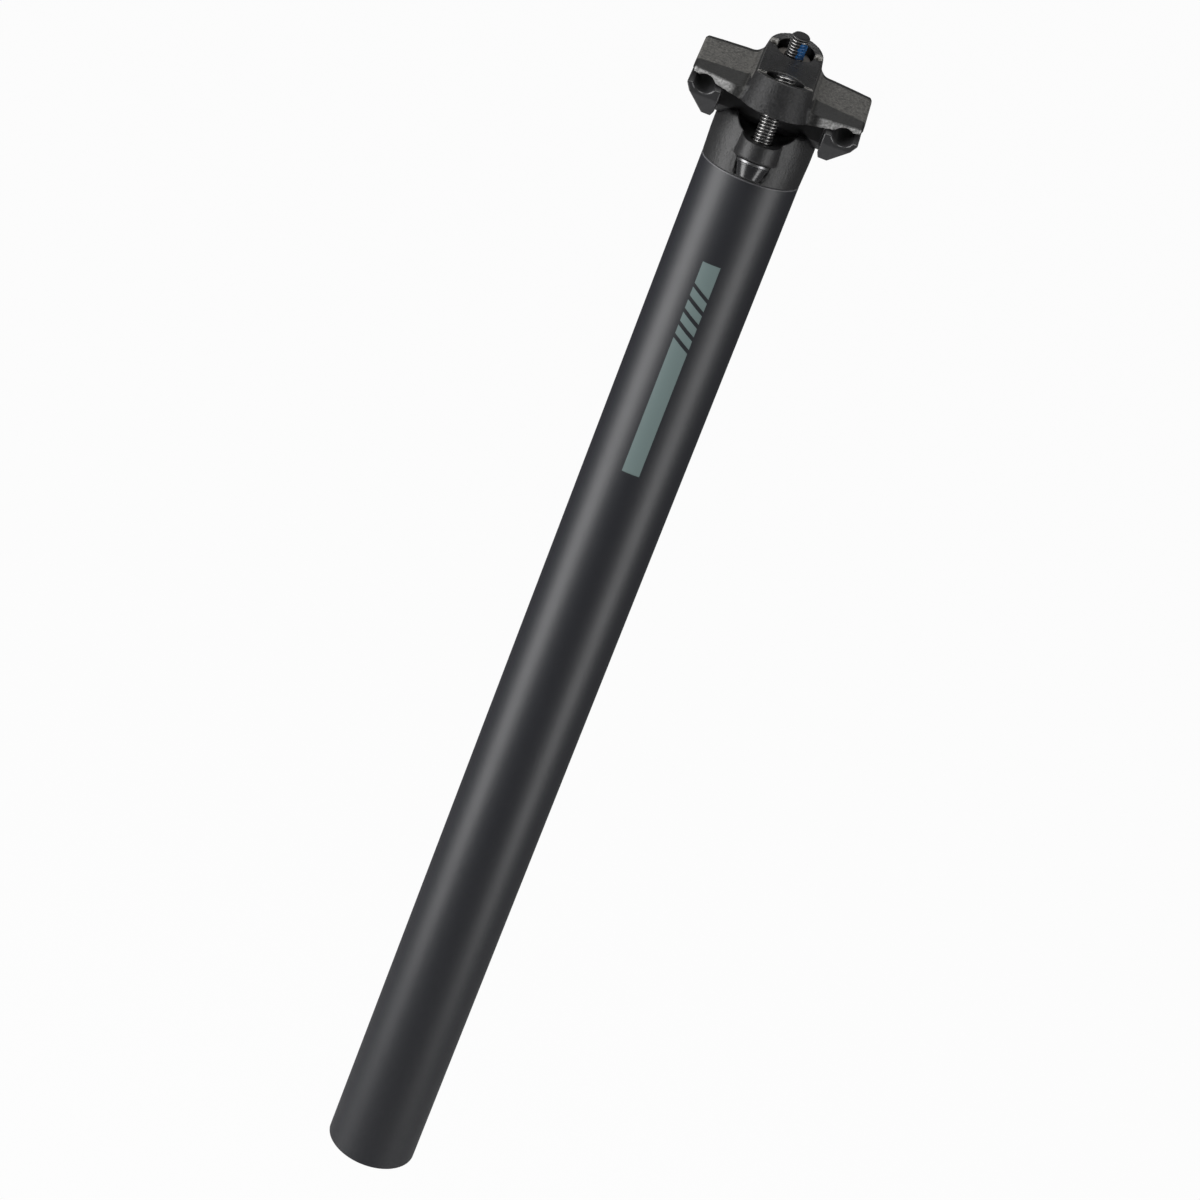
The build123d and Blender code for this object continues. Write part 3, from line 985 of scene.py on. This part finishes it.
# %% [markdown]
# ## Washers and barrel nuts
# The washer's top is part of a ball, so the screw can swing in its seat: its half section is spun
# round the axis. The nut is a short barrel across the clamp, rounded at its ends by the pocket's own
# radius, flat on top and bored for the screw.

# %% Model the washers
ball_radius, ring_radius, ring_hole = 7.0 * MM, 5.05 * MM, 3.1 * MM
ring_foot_edge, ring_top_edge, ring_rim = 0.15 * MM, 0.1 * MM, 0.9 * MM
dome_foot, dome_steps, seat_gap = 4.6 * MM, 8, 0.03 * MM


def make_washer(side, name):
    """Half section on the XZ plane, from the flat foot up over the dome, spun into a ring."""
    section = [(ring_hole, 0.0), (ring_radius - ring_foot_edge, 0.0), (ring_radius, ring_foot_edge),
               (ring_radius, ring_rim - ring_top_edge)]
    dome_top = ring_hole + ring_top_edge
    for step in range(dome_steps + 1):
        radius = dome_foot + (dome_top - dome_foot) * step / dome_steps
        section.append((radius, (ball_radius ** 2 - radius ** 2) ** 0.5 - washer_above_pivot - seat_gap))
    section.append((ring_hole, section[-1][1] - ring_top_edge))
    piece = outline(name, section, closed=True)
    edit(piece)
    bpy.ops.mesh.spin(steps=80, angle=radians(360), center=(0, 0, 0), axis=(0, 0, 1))
    bpy.ops.object.mode_set(mode="OBJECT")
    merge(piece, 0.004 * MM)
    return place(piece, screw_place(side, washer_above_pivot))


front_washer = finish_piece(make_washer(-1, "front_ring"), "front_bolt", "front_washer")
rear_washer = finish_piece(make_washer(1, "rear_ring"), "rear_bolt", "rear_washer")

# %% Model the barrel nuts
nut_radius, nut_half_length, nut_top = 4.15 * MM, 5.35 * MM, 1.95 * MM
nut_bore, bore_reach = 3.05 * MM, 6 * MM


def make_nut(side, name):
    """Barrel across the clamp, rounded at its ends, flat on top and bored for its screw."""
    piece = rod(name, nut_radius, -nut_half_length, nut_half_length)
    place(piece, Matrix.Rotation(radians(90), 4, "Y"))
    cut(piece, rod("keep", nut_half_length, -nut_radius * 1.2, nut_top, sides=128), "INTERSECT")
    cut(piece, rod("bore", nut_bore, -bore_reach, bore_reach, sides=64))
    tumble(piece, voxel=0.13 * MM, passes=2)
    nut_y, nut_z = turned(side * nut_offset, nut_above_hinge)
    above_pivot = ((nut_y - side * pivot_offset) ** 2 + (nut_z - pivot_height) ** 2) ** 0.5
    return place(piece, screw_place(side, above_pivot))


front_nut = finish_piece(make_nut(-1, "front_nut_barrel"), "front_nut", "front_barrel_nut")
rear_nut = finish_piece(make_nut(1, "rear_nut_barrel"), "rear_nut", "rear_barrel_nut")

# %% Finish washers and nuts
bright_steel = grainy("turned_bright_steel", colour=(0.17, 0.17, 0.173), rough=0.38, grain_scale=3000,
                      bump=0.15, fleck=0.3, drift=0.12, metallic=1.0)
dark_steel = grainy("dark_turned_steel", colour=(0.11, 0.1, 0.09), rough=0.35, grain_scale=2200, bump=0.3,
                    fleck=0.6, drift=0.12, level=0.6)
for ring in (front_washer, rear_washer):
    ring.data.materials.append(bright_steel)
for nut in (front_nut, rear_nut):
    nut.data.materials.append(dark_steel)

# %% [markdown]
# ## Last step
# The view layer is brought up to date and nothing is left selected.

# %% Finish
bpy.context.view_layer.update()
nothing_selected()
